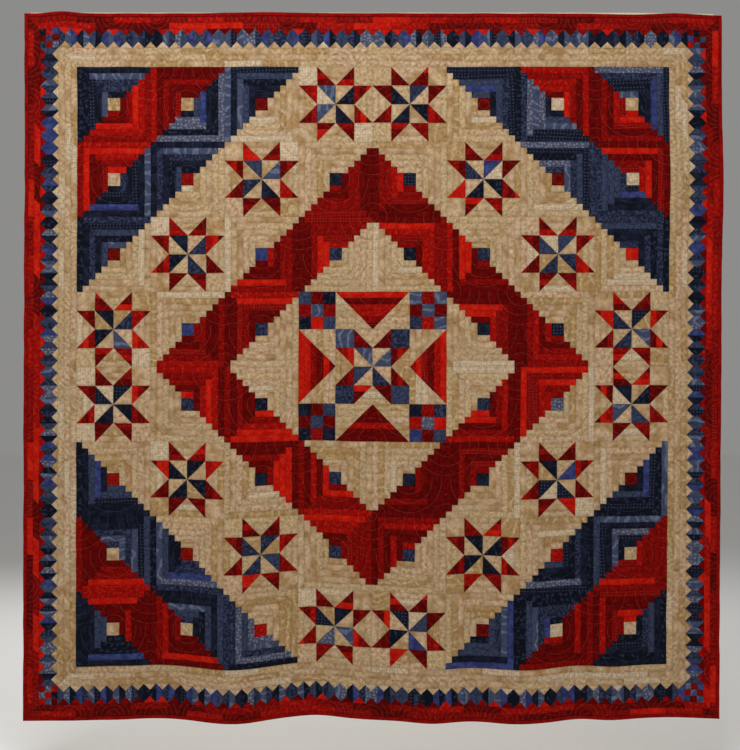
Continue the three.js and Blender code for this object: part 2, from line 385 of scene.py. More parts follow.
def border_piece(x, y):
    """Strips of red, a band of blue spikes with checked corners, then strips of cream."""
    level, along, across = nearest_edge(x, y)
    side = 2 * level + (across > 0)
    inset = HALF - np.abs(across)
    row = np.floor(inset)
    wave = 1 - np.abs(np.abs(along) % SPIKE_PITCH - 1)
    middle = RED_BAND + SPIKES / 2
    spiked = np.abs(inset - middle) < SPIKES / 2 - 1 + wave
    between = (row == RED_BAND) | (row == RED_BAND + SPIKES - 1)
    number = np.where(between, (along + 1) / SPIKE_PITCH, (along + row * STAGGER) / STRIP)
    key = np.where(spiked, label(side, BORDER_PATCHES, along), label(side, row, number))
    family = np.where(spiked, BLUE, np.where(inset < middle, RED, CREAM))
    stone = (row >= RED_BAND) & (HALF - np.abs(along) < RED_BAND + SPIKES)
    checked = (np.floor(x) + np.floor(y)) % 2
    key = np.where(stone, label(2 * BORDER_PATCHES, x, y), key)
    return key, np.where(stone, np.where(checked == 0, BLUE, RED), family)


def star_piece(x, y, unit, square, colours):
    """A sawtooth star of four by four units, pieced from strips, around a pinwheel."""
    steep, along, across = nearest_edge(x, y)
    far, near = np.abs(across) / unit, np.abs(along) / unit
    side = 2 * steep + (across > 0)
    hand = along > 0
    strip = np.abs(across)
    kind = np.select([far < 1, near >= 1, near < far - 1], [0, 1, 2], 3)
    key = np.choose(kind, [
        label(0, side, hand, 0),
        label(1, x / square, y / square, 0),
        label(2, side, 0, strip),
        label(3, side, hand, strip),
    ])
    turned = (x > 0) ^ (y > 0) ^ steep
    checked = (np.floor(np.abs(x) / square) + np.floor(np.abs(y) / square)) % 2
    family = np.choose(kind, [
        np.where(turned, *WHEEL),
        np.where(checked == 0, colours.square, colours.check),
        colours.ground,
        colours.point,
    ])
    return key, family


def medallion_piece(x, y):
    """The middle of the field: a star within a star."""
    unit = STAR_HALF / 2
    inside = np.maximum(np.abs(x), np.abs(y)) < unit
    inner = star_piece(x, y, unit / 2, unit / 2, INNER_STAR)
    outer = star_piece(x, y, unit, CHECK, OUTER_STAR)
    key, family = np.where(inside, inner, outer)
    return label(inside) * BLOCK_ROOM + key, family


def cabin_piece(out_x, out_y, distance):
    """A log cabin block. out_x and out_y are places from its middle, away from the quilt's middle."""
    ring = np.floor(np.maximum(np.abs(out_x), np.abs(out_y)))
    log = np.select([ring < 1, out_x >= ring, out_y >= ring, out_x < -ring], [0, 1, 2, 3], 4)
    part = np.choose(log, [0, 1, 1, 2, 2])
    colours = np.full((FARTHEST + 1, 3), RED)
    for cabin in CABINS:
        colours[cabin.distance] = cabin.middle, cabin.outer, cabin.inner
    return label(0, ring, log, 0), colours[distance, part]


def block_piece(x, y):
    """The field's blocks: log cabins that face the quilt's middle, and a ring of stars."""
    column = np.floor(np.abs(x) / BLOCK_PATCHES)
    row = np.floor(np.abs(y) / BLOCK_PATCHES)
    out_x = np.abs(x) - (column + 0.5) * BLOCK_PATCHES
    out_y = np.abs(y) - (row + 0.5) * BLOCK_PATCHES
    distance = np.clip(column + row, 0, FARTHEST).astype(int)
    cabin = cabin_piece(out_x, out_y, distance)
    unit = STAR_HALF / 4
    star = star_piece(out_x, out_y, unit, unit, RING_STAR)
    key, family = np.where(distance == STAR_RING, star, cabin)
    block = label(2 * (x > 0) + (y > 0), column, row)
    return block * BLOCK_ROOM + key, family


def piece_at(x, y):
    """The label and family of the piece of cloth at places anywhere on the face."""
    far = np.maximum(np.abs(x), np.abs(y))
    zone = 1 * (far >= STAR_HALF) + (far >= FIELD_HALF)
    key, family = np.choose(zone, [medallion_piece(x, y), block_piece(x, y), border_piece(x, y)])
    return zone * ZONE_ROOM + key, family


def chart():
    """The patches of each mesh cell's two triangles, how it is split, and patches' families and zones."""
    middle = np.arange(PATCHES) - HALF + 0.5
    x, y = np.meshgrid(middle, middle)
    quarter = 0.25
    offsets = [(0, -quarter), (quarter, 0), (0, quarter), (-quarter, 0)]
    places = np.stack([(x + right, y + down) for right, down in offsets], axis=1)
    key, family = piece_at(*places)
    _, first_place, number = np.unique(key, return_index=True, return_inverse=True)
    top, right, bottom, left = number.reshape(key.shape)
    rising = (top == left) & (right == bottom) & (top != right)
    first, second, rising = (cells.repeat(FINE, 0).repeat(FINE, 1) for cells in (top, bottom, rising))
    row, column = np.indices(rising.shape) % FINE
    last = FINE - 1
    upper = np.where(np.where(rising, column + row <= last, column >= row), first, second)
    lower = np.where(np.where(rising, column + row < last, column > row), first, second)
    return upper, lower, rising, family.ravel()[first_place], key.ravel()[first_place] // ZONE_ROOM


UPPER, LOWER, RISING, PATCH_FAMILY, PATCH_ZONE = chart()


def choose_fabrics():
    """A fabric of the right family for each patch."""
    chosen = np.zeros(len(PATCH_FAMILY), int)
    in_border = PATCH_ZONE == PATCH_ZONE.max()
    for family in (RED, BLUE, CREAM):
        members = [number for number, fabric in enumerate(FABRICS) if fabric.family == family]
        for border in (False, True):
            shares = np.array([FABRICS[number].share[border] for number in members], float)
            wanted = np.flatnonzero((PATCH_FAMILY == family) & (in_border == border))
            chosen[wanted] = RANDOM.choice(members, len(wanted), p=shares / shares.sum())
    return chosen


PATCH_FABRIC = choose_fabrics()
QUARTER_TURNS = RANDOM.integers(0, 4, len(PATCH_FAMILY))
GRAIN_STRAY = RANDOM.uniform(-GRAIN_SWAY, GRAIN_SWAY, len(PATCH_FAMILY))
PATCH_GRAIN = QUARTER_TURNS * math.pi / 2 + GRAIN_STRAY
PATCH_SHIFT = RANDOM.uniform(0, 1, (len(PATCH_FAMILY), 2))


def point_numbers(rows, columns):
    """Numbers of the points around a grid of cells, row by row."""
    return np.arange((rows + 1) * (columns + 1)).reshape(rows + 1, columns + 1)


def cell_triangles(rising):
    """Each cell's upper and lower triangle, split along its rising or its falling diagonal."""
    number = point_numbers(*rising.shape)
    a, b, c, d = number[:-1, :-1], number[:-1, 1:], number[1:, 1:], number[1:, :-1]
    upper = np.stack([a, np.where(rising, d, c), b], -1)
    lower = np.stack([np.where(rising, b, a), d, c], -1)
    return upper.reshape(-1, 3), lower.reshape(-1, 3)


def seam_steps():
    """Mesh steps from each point of the face to the nearest seam."""
    rows, columns = np.add(UPPER.shape, 1)
    low = np.full(rows * columns, len(PATCH_FAMILY))
    high = np.full(rows * columns, -1)
    for corners, patches in zip(cell_triangles(RISING), (UPPER, LOWER)):
        np.minimum.at(low, corners, patches.reshape(-1, 1))
        np.maximum.at(high, corners, patches.reshape(-1, 1))
    sewn = (low != high).reshape(rows, columns)
    sewn[[0, -1], :] = True
    sewn[:, [0, -1]] = True
    steps = np.where(sewn, 0.0, SEAM_REACH)
    for _ in range(SEAM_REACH):
        edged = np.pad(steps, 1, constant_values=SEAM_REACH)
        for down in (-1, 0, 1):
            for across in (-1, 0, 1):
                moved = edged[1 + down:1 + down + rows, 1 + across:1 + across + columns]
                steps = np.minimum(steps, moved + math.hypot(down, across))
    return steps


# Quilting lines: circles about the middles of fans and scallops, each kept within its own region

def fan_centre(x, y):
    """Middle of the fan that a place lies in: rows of fans overlap like tiles on a roof."""
    row = np.floor(y / FAN)
    shift = (row % 2) * FAN
    above = shift + 2 * FAN * np.round((x - shift) / (2 * FAN))
    below = shift - FAN + 2 * FAN * np.round((x - shift + FAN) / (2 * FAN))
    inside = np.hypot(x - above, y - row * FAN) <= FAN
    return np.where(inside, above, below), FAN * np.where(inside, row, row + 1)


def scallop_centre(x, y, half, period):
    """Middle of the nearest scallop along the sides of a square."""
    level, along, across = nearest_edge(x, y)
    nearest = period * np.round((along + half) / period) - half
    edge = half * np.sign(across)
    return np.where(level, nearest, edge), np.where(level, edge, nearest)


def quilting_centre(x, y):
    """Middle and spacing of the quilting's circles at a place: an endless spacing where there are none."""
    far = np.maximum(np.abs(x), np.abs(y))
    inset = HALF - far
    zone = np.select([far < FIELD_HALF, inset < RED_BAND, inset >= RED_BAND + SPIKES], [0, 1, 2], 3)
    centre_x, centre_y = np.choose(zone, [
        fan_centre(x, y),
        scallop_centre(x, y, HALF, RED_SCALLOP),
        scallop_centre(x, y, FIELD_HALF, CREAM_SCALLOP),
        (x, y),
    ])
    spacing = np.choose(zone, [FAN_SPACING, SCALLOP_SPACING, SCALLOP_SPACING, np.inf])
    return centre_x, centre_y, spacing


def quilting_phase(x, y, within_x, within_y):
    """Distance from the middle of a region's circles in spacings, with lines at the halves."""
    centre_x, centre_y, spacing = quilting_centre(within_x, within_y)
    return np.hypot(x - centre_x, y - centre_y) / spacing


def quilting_groove(x, y):
    """How deep the quilting draws the cloth in at places, from 0 to 1 on a line."""
    spacing = quilting_centre(x, y)[2]
    offset = np.abs(quilting_phase(x, y, x, y) % 1 - 0.5) * spacing * PATCH
    return bell(offset, 0, QUILT_WIDTH)


def flat_places(x, y):
    """Places across and down the flat quilt, from places in patches about its middle."""
    return x * PATCH, y * PATCH + SIDE / 2


POINT_PLACES = np.arange(PATCHES * FINE + 1) / FINE - HALF
ACROSS, DOWN = flat_places(POINT_PLACES, POINT_PLACES)
SEAM_STEPS = seam_steps()
# Painted shade along the seams: 1 in a seam's ditch, fading away from it
SEAM_SHADE = bell(SEAM_STEPS, 0, SEAM_SHADE_STEPS)
GROOVE = quilting_groove(*np.meshgrid(POINT_PLACES, POINT_PLACES))
FACE_OUT = HALF_THICKNESS + PUFF * (1 - bell(SEAM_STEPS, 0, PUFF_STEPS)) - QUILT_DEPTH * GROOVE
BACK_OUT = BACK_DEPTH * GROOVE - HALF_THICKNESS
FACE_POINTS = hang(ACROSS[None, :], DOWN[:, None], FACE_OUT)
FACE_NORMALS = np.cross(np.gradient(FACE_POINTS, axis=0), np.gradient(FACE_POINTS, axis=1))
FACE_NORMALS /= np.linalg.norm(FACE_NORMALS, axis=2, keepdims=True)


# Materials

def linear(colour):
    """A colour given in 0 to 255 as the shader takes it."""
    return (*Color([part / 255 for part in colour]).from_srgb_to_scene_linear(), 1.0)


class Nodes:
    """Short ways to add and join the nodes of a material."""

    def __init__(self, name):
        self.material = bpy.data.materials.new(name)
        self.material.use_nodes = True
        self.tree = self.material.node_tree
        self.shader = self.tree.nodes["Principled BSDF"]

    def fill(self, node, inputs):
        """Sets a node's inputs, or links them where their values are other nodes' outputs."""
        for name, value in inputs.items():
            if isinstance(value, bpy.types.NodeSocket):
                self.tree.links.new(value, node.inputs[name])
            else:
                node.inputs[name].default_value = value

    def add(self, kind, inputs, **settings):
        made = self.tree.nodes.new("ShaderNode" + kind)
        for name, value in settings.items():
            setattr(made, name, value)
        self.fill(made, inputs)
        return made

    def math(self, operation, first, second=0.0):
        return self.add("Math", {0: first, 1: second}, operation=operation).outputs[0]

    def scaled(self, value, factor, added):
        return self.add("Math", {0: value, 1: factor, 2: added}, operation="MULTIPLY_ADD").outputs[0]

    def uneven(self, value, amount):
        """A factor that wavers about 1 by an amount."""
        return self.scaled(value, amount, 1 - amount / 2)

    def vector(self, operation, first, second):
        return self.add("VectorMath", {0: first, 1: second}, operation=operation).outputs[0]

    def parts(self, vector):
        return self.add("SeparateXYZ", {0: vector}).outputs

    def mark(self, name):
        return self.add("Attribute", {}, attribute_name=name).outputs["Fac"]

    def step(self, value, start, end):
        """A soft step from 0 at start to 1 at end."""
        inputs = {"Value": value, "From Min": start, "From Max": end}
        return self.add("MapRange", inputs, interpolation_type="SMOOTHSTEP").outputs[0]

    def fall(self, value, start, end):
        """A soft step from 1 at start to 0 at end."""
        return self.math("SUBTRACT", 1.0, self.step(value, start, end))

    def blend(self, share, first, second):
        """A colour between two. The node takes colours at its inputs 6 and 7."""
        return self.add("Mix", {0: share, 6: first, 7: second}, data_type="RGBA").outputs[2]

    def noise(self, vector, scale, detail=2.0):
        inputs = {"Vector": vector, "Scale": scale, "Detail": detail}
        return self.add("TexNoise", inputs).outputs["Fac"]

    def cells(self, vector, scale, randomness, feature="F1"):
        inputs = {"Vector": vector, "Scale": scale, "Randomness": randomness}
        return self.add("TexVoronoi", inputs, voronoi_dimensions="2D", feature=feature).outputs

    def bump(self, height, depth, below=None):
        """A bump of a given depth, over another bump where there is one."""
        inputs = {"Height": height, "Distance": depth, "Strength": 1.0}
        if below is not None:
            inputs["Normal"] = below
        return self.add("Bump", inputs).outputs["Normal"]


# Prints: each gives the share of the figure's colour over the cloth

def print_mottle(nodes, cloth, scale):
    return nodes.step(nodes.noise(cloth, scale, MOTTLE.detail), *MOTTLE.edge)


def print_dots(nodes, cloth, scale):
    return nodes.fall(nodes.cells(cloth, scale, DOTS.randomness)["Distance"], *DOTS.edge)


def print_crackle(nodes, cloth, scale):
    edge = nodes.cells(cloth, scale, CRACKLE.randomness, "DISTANCE_TO_EDGE")["Distance"]
    worn = nodes.step(nodes.noise(cloth, scale), *CRACKLE.wear)
    return nodes.math("MULTIPLY", nodes.fall(edge, *CRACKLE.vein), worn)


def print_swirl(nodes, cloth, scale):
    contour = nodes.math("MULTIPLY", nodes.noise(cloth, scale, SWIRL.detail), SWIRL.contours)
    return nodes.step(nodes.math("SINE", contour), *SWIRL.edge)


def print_vine(nodes, cloth, scale):
    stem = nodes.add("TexWave", {
        "Vector": cloth,
        "Scale": scale / VINE.spacing,
        "Distortion": VINE.distortion,
        "Detail": VINE.detail,
        "Detail Scale": VINE.detail_scale,
    })
    return nodes.step(stem.outputs["Fac"], *VINE.edge)


def print_sprig(nodes, cloth, scale):
    found = nodes.cells(cloth, scale, SPRIG.randomness)
    local = nodes.parts(nodes.vector("SUBTRACT", cloth, found["Position"]))
    angle = nodes.math("ARCTAN2", local["Y"], local["X"])
    petal = nodes.math("COSINE", nodes.math("MULTIPLY", angle, SPRIG.petals))
    edge = nodes.scaled(petal, SPRIG.swing, SPRIG.radius)
    flower = nodes.fall(nodes.math("SUBTRACT", found["Distance"], edge), *SPRIG.edge)
    return nodes.math("MULTIPLY", flower, nodes.step(found["Distance"], *SPRIG.heart))


def print_leaf(nodes, cloth, scale):
    found = nodes.cells(cloth, scale, LEAF.randomness)
    turn = nodes.math("MULTIPLY", nodes.parts(found["Color"])["X"], math.tau)
    local = nodes.vector("SUBTRACT", cloth, found["Position"])
    turned = nodes.add("VectorRotate", {"Vector": local, "Angle": turn}, rotation_type="Z_AXIS")
    sides = nodes.parts(turned.outputs[0])
    long_way, short_way = (
        nodes.math("ABSOLUTE", nodes.math("MULTIPLY", sides[axis], scale / reach))
        for axis, reach in (("X", LEAF.length), ("Y", LEAF.width))
    )
    bulge = nodes.math("POWER", long_way, LEAF.power)
    blade = nodes.fall(nodes.math("ADD", bulge, short_way), *LEAF.edge)
    return nodes.math("MULTIPLY", blade, nodes.step(short_way, *LEAF.rib))


PRINTS = {
    "mottle": print_mottle,
    "dots": print_dots,
    "crackle": print_crackle,
    "swirl": print_swirl,
    "vine": print_vine,
    "sprig": print_sprig,
    "leaf": print_leaf,
}


def weave_height(nodes, cloth):
    """Plain weave: warp threads over weft and weft over warp in turn."""
    threads = nodes.vector("MULTIPLY", cloth, (1 / THREAD_PITCH, 1 / THREAD_PITCH, 0.0))
    place = nodes.parts(threads)
    warp, weft = (
        nodes.math("ABSOLUTE", nodes.math("SINE", nodes.math("MULTIPLY", place[axis], math.pi)))
        for axis in ("X", "Y")
    )
    over = nodes.add("TexChecker", {"Vector": threads, "Scale": 1.0}).outputs["Fac"]
    return nodes.add("Mix", {0: over, 2: warp, 3: weft}).outputs[0]  # numbers go in at 2 and 3


def quilting_line(nodes):
    """1 along the lines of quilting, 0 between them."""
    phase = nodes.math("FRACT", nodes.mark("quilting"))
    between = nodes.math("ABSOLUTE", nodes.math("SUBTRACT", phase, 0.5))
    return nodes.fall(between, *LINE_EDGE)


def cotton(cloth, finish):
    """Woven cotton from a row of the cloth tables."""
    nodes = Nodes(cloth.name)
    place = nodes.add("UVMap", {}, uv_map="Cloth").outputs["UV"]
    figure = PRINTS[cloth.kind](nodes, place, 1 / cloth.motif)
    printed = nodes.blend(figure, linear(cloth.ground), linear(cloth.figure))
    dye, speckle, pucker = (
        nodes.noise(place, 1 / grain.size, grain.detail) for grain in (DYE, SPECKLE, PUCKER)
    )
    line = quilting_line(nodes)
    shade = nodes.uneven(dye, finish.unevenness)
    other_shades = [
        nodes.uneven(speckle, finish.speckle),
        # painted shade in the quilting's grooves
        nodes.scaled(line, -finish.line_darkness, 1.0),
        # painted shade in the seams' ditches
        nodes.scaled(nodes.mark("painted_seam_shade"), -SEAM_SHADE_DARKNESS, 1.0),
    ]
    for other in other_shades:
        shade = nodes.math("MULTIPLY", shade, other)
    quilted = nodes.bump(nodes.scaled(line, -1.0, 1.0), finish.line_depth)
    puckered = nodes.bump(pucker, PUCKER.depth, quilted)
    nodes.fill(nodes.shader, {
        "Base Color": nodes.add("VectorMath", {0: printed, "Scale": shade}, operation="SCALE").outputs[0],
        "Roughness": nodes.scaled(dye, *COTTON_ROUGHNESS),
        "Normal": nodes.bump(weave_height(nodes, place), WEAVE_DEPTH, puckered),
        "Specular IOR Level": COTTON_SPECULAR,
        "Sheen Weight": COTTON_SHEEN.weight,
        "Sheen Roughness": COTTON_SHEEN.roughness,
    })
    return nodes.material


def spun(thread):
    """Sewing thread from a row of its table."""
    nodes = Nodes(thread.name)
    place = nodes.add("TexCoord", {}).outputs["Object"]
    dark = [THREAD_SHADE * part for part in thread.colour]
    dye = nodes.noise(place, 1 / THREAD_DYE_SIZE)
    nodes.fill(nodes.shader, {
        "Base Color": nodes.blend(dye, linear(dark), linear(thread.colour)),
        "Roughness": THREAD_ROUGHNESS,
        "Sheen Weight": THREAD_SHEEN,
    })
    return nodes.material


FABRIC_MATERIALS = [cotton(fabric, PRINT_FINISH) for fabric in FABRICS]
BINDING_MATERIAL = cotton(BINDING_CLOTH, PRINT_FINISH)
BACKING_MATERIAL = cotton(BACKING_CLOTH, PLAIN_FINISH)
SLEEVE_MATERIAL = cotton(SLEEVE_CLOTH, PLAIN_FINISH)
THREAD_MATERIALS = [spun(thread) for thread in FACE_THREADS]
BACK_THREAD_MATERIAL = spun(BACK_THREAD)
SEWING_MATERIAL = spun(SEWING_THREAD)


# Meshes

def link(name, data):
    """A new object in the scene."""
    made = bpy.data.objects.new(name, data)
    bpy.context.scene.collection.objects.link(made)
    return made


def make_piece(name, points, triangles, materials, slots=0, smooth=True, maps=None, marks=None):
    """A mesh from arrays. maps hold places at triangles' corners, marks numbers at corners or points."""
    mesh = bpy.data.meshes.new(name)
    mesh.from_pydata(points, [], triangles)
    for material in materials:
        mesh.materials.append(material)
    mesh.polygons.foreach_set("material_index", np.full(len(triangles), slots, np.int32))
    mesh.polygons.foreach_set("use_smooth", np.full(len(triangles), smooth))
    for map_name, places in (maps or {}).items():
        layer = mesh.uv_layers.new(name=map_name)
        layer.uv.foreach_set("vector", np.asarray(places, np.float32).ravel())
    for mark, (domain, values) in (marks or {}).items():
        attribute = mesh.attributes.new(mark, "FLOAT", domain)
        attribute.data.foreach_set("value", np.asarray(values, np.float32).ravel())
    return link(name, mesh)


def settle(piece, slot, *nodes):
    """Puts a piece on the part's body and hides the solids that it stands for. The finish given as slot is
    not used.
    """
    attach(piece, BODY)
    if nodes:
        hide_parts(*nodes)
    return piece


def rim_loop(rows, columns):
    """Point numbers around a grid's edge: down the left, along the bottom, up and back."""
    number = point_numbers(rows, columns)
    return np.concatenate([number[:-1, 0], number[-1, :-1], number[:0:-1, -1], number[0, :0:-1]])


def rim_triangles(front, back):
    """Joins the face's rim to the back's rim, which has one point for every two."""
    first, middle, last = front[::2], front[1::2], np.roll(front, -2)[::2]
    following = np.roll(back, -1)
    corners = [(first, back, middle), (middle, back, following), (middle, following, last)]
    return np.concatenate([np.stack(trio, -1) for trio in corners])


def panel_points(grid):
    """A panel's points on the face, then those on the back, and the flat places of them all."""
    coarse = np.s_[::COARSE, ::COARSE]
    across, down = np.meshgrid(ACROSS[grid[1]], DOWN[grid[0]])
    back = hang(across[coarse], down[coarse], BACK_OUT[grid][coarse])
    flat = np.stack([across, down], -1)
    points = np.concatenate([FACE_POINTS[grid].reshape(-1, 3), back.reshape(-1, 3)])
    return points, np.concatenate([flat.reshape(-1, 2), flat[coarse].reshape(-1, 2)])


def panel_triangles(rising):
    """Triangles of a panel's face, of its back with larger cells, and of the rim between them."""
    rows, columns = rising.shape
    back_size = (rows // COARSE, columns // COARSE)
    first_back = (rows + 1) * (columns + 1)
    face = np.concatenate(cell_triangles(rising))
    back = first_back + np.concatenate(cell_triangles(np.zeros(back_size, bool)))[:, ::-1]
    rim = rim_triangles(rim_loop(rows, columns), first_back + rim_loop(*back_size))
    return face, back, rim


def turned_grain(places, patches):
    """Places on the printed cloth that each patch was cut from."""
    cos, sin = np.cos(PATCH_GRAIN[patches])[:, None], np.sin(PATCH_GRAIN[patches])[:, None]
    x, y = places[..., 0], places[..., 1]
    return np.stack([x * cos - y * sin, x * sin + y * cos], -1) + PATCH_SHIFT[patches][:, None, :]


def picture_places(places, low, high, sections, band):
    """Places on a panel's picture, where its long side is cut into sections that lie above each other."""
    span = high - low
    shares = (places - low) / span
    long_axis = int(span[1] > span[0])
    along, across = shares[..., long_axis] * sections, shares[..., 1 - long_axis]
    section = np.floor(along.mean(axis=1))[:, None]
    margin = PICTURE_MARGIN * sections
    u = PICTURE_MARGIN + (1 - 2 * PICTURE_MARGIN) * (along - section)
    v = (section + margin + (1 - 2 * margin) * across) / sections
    return np.stack([u, band[0] + (band[1] - band[0]) * v], -1)


def panel_maps(face, back, rim, patches):
    """Where the corners of a panel's triangles lie on its picture and on the cloths that it is cut from."""
    low, high = face.min(axis=(0, 1)), face.max(axis=(0, 1))
    sections = round(math.sqrt(max(high - low) / min(high - low)))
    picture = [
        picture_places(face, low, high, sections, FACE_PICTURE),
        picture_places(back, low, high, 1, BACK_PICTURE),
        picture_places(rim, low, high, 1, RIM_PICTURE),
    ]
    cloth = [turned_grain(face, patches), back, rim]
    return {"OFBake": np.concatenate(picture), "Cloth": np.concatenate(cloth)}


def panel(name, columns, rows):
    """A closed slab of the quilt over a range of patches, pieced on its face."""
    (left, right), (top, bottom) = np.multiply((columns, rows), FINE)
    cells = np.s_[top:bottom, left:right]
    grid = np.s_[top:bottom + 1, left:right + 1]
    points, flat = panel_points(grid)
    face, back, rim = panel_triangles(RISING[cells])
    triangles = np.concatenate([face, back, rim])
    patches = np.concatenate([UPPER[cells].ravel(), LOWER[cells].ravel()])
    used, fabric_slots = np.unique(PATCH_FABRIC[patches], return_inverse=True)
    materials = [FABRIC_MATERIALS[fabric] for fabric in used] + [BACKING_MATERIAL]
    slots = np.full(len(triangles), len(used))
    slots[:len(face)] = fabric_slots
    smooth = np.arange(len(triangles)) < len(face) + len(back)
    painted_seam_shade = np.zeros(len(points))
    painted_seam_shade[:SEAM_SHADE[grid].size] = SEAM_SHADE[grid].ravel()
    x, y = np.moveaxis((flat[triangles] - (0, SIDE / 2)) / PATCH, -1, 0)
    phase = quilting_phase(x, y, x.mean(axis=1, keepdims=True), y.mean(axis=1, keepdims=True))
    # the seams' mark carries painted shade for their ditches
    marks = {"painted_seam_shade": ("POINT", painted_seam_shade), "quilting": ("CORNER", phase)}
    maps = panel_maps(flat[face], flat[back], flat[rim], patches)
    piece = make_piece(name, points, triangles, materials, slots, smooth, maps, marks)
    normals = np.zeros((len(triangles), 3, 3))
    normals[:len(face)] = FACE_NORMALS[grid].reshape(-1, 3)[face]
    piece.data.normals_split_custom_set(normals.reshape(-1, 3))
    return piece


def loft(number):
    """Triangles that join closed rings of points, given by their numbers with a ring in each row."""
    following = np.roll(number, -1, axis=1)
    a, b, c, d = number[:-1], following[:-1], following[1:], number[1:]
    return np.concatenate([np.stack(trio, -1).reshape(-1, 3) for trio in ((a, b, c), (a, c, d))])


def loft_places(along, around, triangles):
    """Places along and around a loft for each triangle corner, without a jump where a ring closes."""
    per_ring = len(around) - 1
    ring, spoke = triangles // per_ring, triangles % per_ring
    wraps = (spoke.max(axis=1) - spoke.min(axis=1) > per_ring / 2)[:, None]
    spoke = np.where(wraps & (spoke == 0), per_ring, spoke)
    return np.stack([along[ring], around[spoke]], -1)


def girths(outline):
    """Distances around a closed outline, from its first point back to it."""
    steps = np.linalg.norm(np.diff(outline, axis=0, append=outline[:1]), axis=1)
    return np.concatenate([[0], np.cumsum(steps)])


def closed_piece(name, points, sides, ends, along, around, material):
    """A lofted mesh with smooth sides and flat ends, facing out. along and around are lengths of cloth."""
    triangles = np.concatenate([sides, ends])
    corners = points[triangles]
    volume = np.einsum("ij,ij->i", corners[:, 0], np.cross(corners[:, 1], corners[:, 2])).sum()
    if volume < 0:
        triangles = triangles[:, ::-1]
    smooth = np.arange(len(triangles)) < len(sides)
    maps = {"Cloth": loft_places(along, around, triangles)}
    return make_piece(name, points, triangles, [material], smooth=smooth, maps=maps)


# The binding

PLUMP_WAVE = ripples(PLUMP_WAVES)

# How places along each edge of the quilt and insets from it become places across and down
EDGE_FLATS = {
    "top": lambda along, inset: (along, inset),
    "bottom": lambda along, inset: (along, SIDE - inset),
    "left": lambda along, inset: (inset - SIDE / 2, along + SIDE / 2),
    "right": lambda along, inset: (SIDE / 2 - inset, along + SIDE / 2),
}


def binding_section():
    """The binding's section over the quilt's edge: inset from the edge, and out of the middle layer."""
    turn = np.linspace(0, math.pi, BINDING_POINTS)
    power = 2 / BINDING_ROUNDNESS
    inset = BINDING * (1 - np.sin(turn) ** power)
    out = BINDING_HALF * np.sign(np.cos(turn)) * np.abs(np.cos(turn)) ** power
    return inset, out


def binding(node, flat):
    """A binding strip with mitred ends. flat turns places along and insets into places across and down."""
    inset, out = binding_section()
    along = np.linspace(-INNER / 2, INNER / 2, PATCHES * FINE // COARSE + 1)
    reached = np.repeat(along[:, None], BINDING_POINTS, axis=1)
    reached[0] = inset - SIDE / 2
    reached[-1] = SIDE / 2 - inset
    plump = 1 + PLUMPNESS * PLUMP_WAVE(reached, inset[None, :])
    across, down = flat(reached, np.broadcast_to(inset, reached.shape))
    points = hang(across, down, out[None, :] * plump).reshape(-1, 3)
    number = np.arange(len(points)).reshape(reached.shape)
    fan = np.array([[0, k, k + 1] for k in range(1, BINDING_POINTS - 1)])
    ends = np.concatenate([fan[:, ::-1], number[-1, 0] + fan])
    girth = girths(np.stack([inset, out], -1))
    piece = closed_piece(node + "_strip", points, loft(number), ends, along, girth, BINDING_MATERIAL)
    return settle(piece, "binding_cotton", node)


# The sleeve

SLEEVE_WAVE = ripples(SLEEVE_WAVES)


def bezier(controls, count):
    """Points along a cubic curve."""
    share = np.linspace(0, 1, count)[:, None]
    rest = 1 - share
    start, first, second, end = np.array(controls)
    return rest**3 * start + 3 * rest**2 * share * first + 3 * rest * share**2 * second + share**3 * end


def pocket_outline(inset, bottom):
    """The sleeve's section, as places back and up: foot, back wall, round top and front."""
    centre, shoulder = SLEEVE_FRONT + POCKET_RADIUS, SLEEVE_TOP - POCKET_RADIUS
    radius = POCKET_RADIUS - inset
    foot, back = SLEEVE_FOOT - inset, centre + radius
    controls = [(foot, bottom), (foot, bottom / 2), (back, bottom / 2), (back, shoulder)]
    wall = bezier(controls, SLEEVE_WALL_POINTS)
    turn = np.linspace(0, math.pi, SLEEVE_TOP_POINTS)[1:-1]
    top = np.stack([centre + radius * np.cos(turn), shoulder + radius * np.sin(turn)], -1)
    height = np.linspace(shoulder, bottom, SLEEVE_WALL_POINTS)
    front = np.stack([np.full_like(height, SLEEVE_FRONT + inset), height], -1)
    return np.concatenate([wall, top, front])


def sleeve_rings(inset, bottom, along, sign):
    """The sleeve's outer or inner surface, wrinkled on its back and thicker at its hems."""
    outline = pocket_outline(inset, bottom)
    rings = np.zeros((len(along), len(outline), 3))
    rings[..., 0] = along[:, None]
    rings[..., 1:] = outline
    height = outline[:, 1]
    bulge = (outline[:, 0] - SLEEVE_FRONT) / (2 * POCKET_RADIUS)
    loose = np.clip(bulge, 0, 1) * smoothstep(height, -SLEEVE_DROP, -SLEEVE_DROP / 2)
    inward = np.minimum(SLEEVE_WAVE(along[:, None], height[None, :]), 1)
    rings[..., 1] += SLEEVE_WRINKLE * (inward - 1) * loose
    from_end = SLEEVE_LENGTH / 2 - np.abs(along)
    hem = 1 - smoothstep(from_end, SLEEVE_HEM - SLEEVE_HEM_EDGE, SLEEVE_HEM)
    rings[..., 1] += sign * SLEEVE_HEM_THICKNESS * hem[:, None] * loose / 2
    sag = SLEEVE_SAG * smoothstep(along, SLEEVE_SAG_FROM, SLEEVE_LENGTH / 2)
    rings[..., 2] -= sag[:, None] * smoothstep(height, -SLEEVE_DROP, 0)
    return rings


